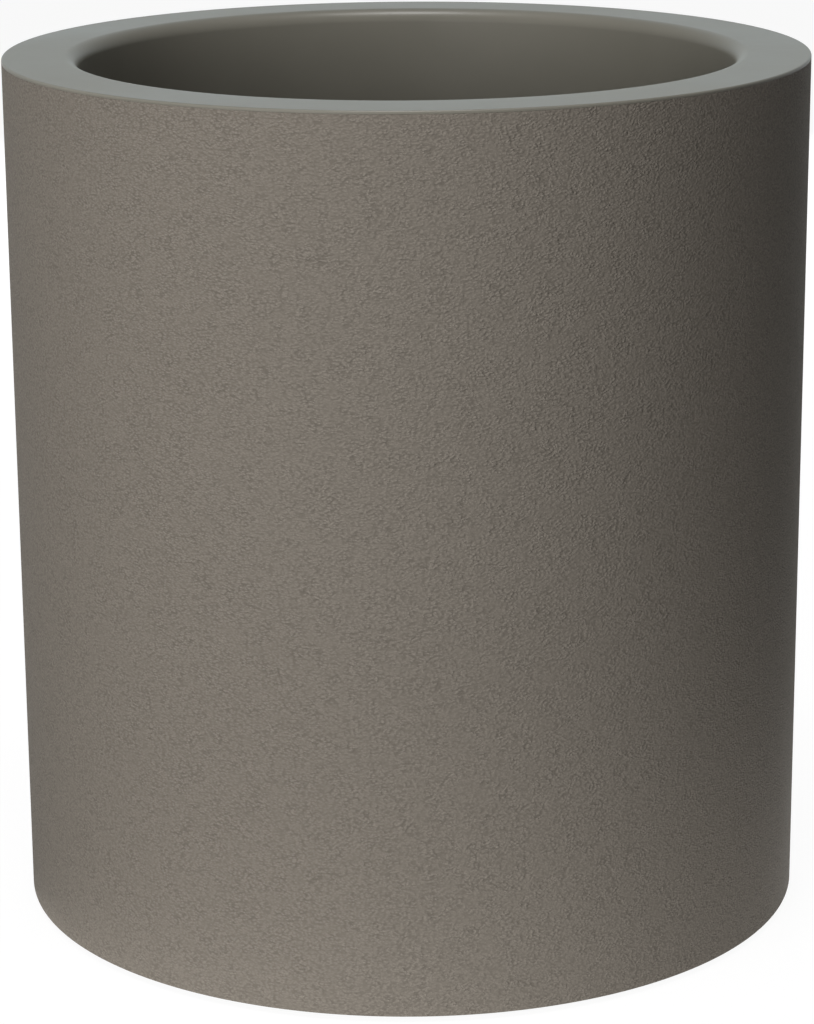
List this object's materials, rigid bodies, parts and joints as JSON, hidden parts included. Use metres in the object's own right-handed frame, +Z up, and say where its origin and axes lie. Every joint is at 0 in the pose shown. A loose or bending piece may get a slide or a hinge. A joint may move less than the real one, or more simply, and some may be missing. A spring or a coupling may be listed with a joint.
{
  "type": "round floor planter",
  "caption": "Straight round floor planter with a double wall, a flat rim rolled over at the mouth, a grained sleeve, a smooth pot inside, a ribbed base and pull-out drain bungs.",
  "frame": {"origin": "on the ground, under the centre of the planter", "axes": "+Z up along the planter's axis, out of its mouth; -Y towards the camera of the picture; +X to its right"},
  "size_m": [0.4, 0.4, 0.434],
  "materials": {
    "grained_shell": "moulded taupe with a fine stone-like grain",
    "smooth_pot": "smooth satin taupe",
    "base": "plain moulded dark taupe",
    "bung": "plain moulded dark taupe"
  },
  "bodies": {
    "planter": {"outer_sleeve": "grained_shell", "inner_pot": "smooth_pot", "base_plate": "base"},
    "bung_1": {"drain_bung_1": "bung"},
    "bung_2": {"drain_bung_2": "bung"},
    "bung_3": {"drain_bung_3": "bung"},
    "bung_4": {"drain_bung_4": "bung"}
  },
  "joints": [
    {"name": "bung_1_pull", "type": "slide", "parent": "planter", "child": "bung_1", "axis": [0, 0, 1], "range_m": [0, 0.44]},
    {"name": "bung_2_pull", "type": "slide", "parent": "planter", "child": "bung_2", "axis": [0, 0, 1], "range_m": [0, 0.44]},
    {"name": "bung_3_pull", "type": "slide", "parent": "planter", "child": "bung_3", "axis": [0, 0, 1], "range_m": [0, 0.44]},
    {"name": "bung_4_pull", "type": "slide", "parent": "planter", "child": "bung_4", "axis": [0, 0, 1], "range_m": [0, 0.44]}
  ]
}
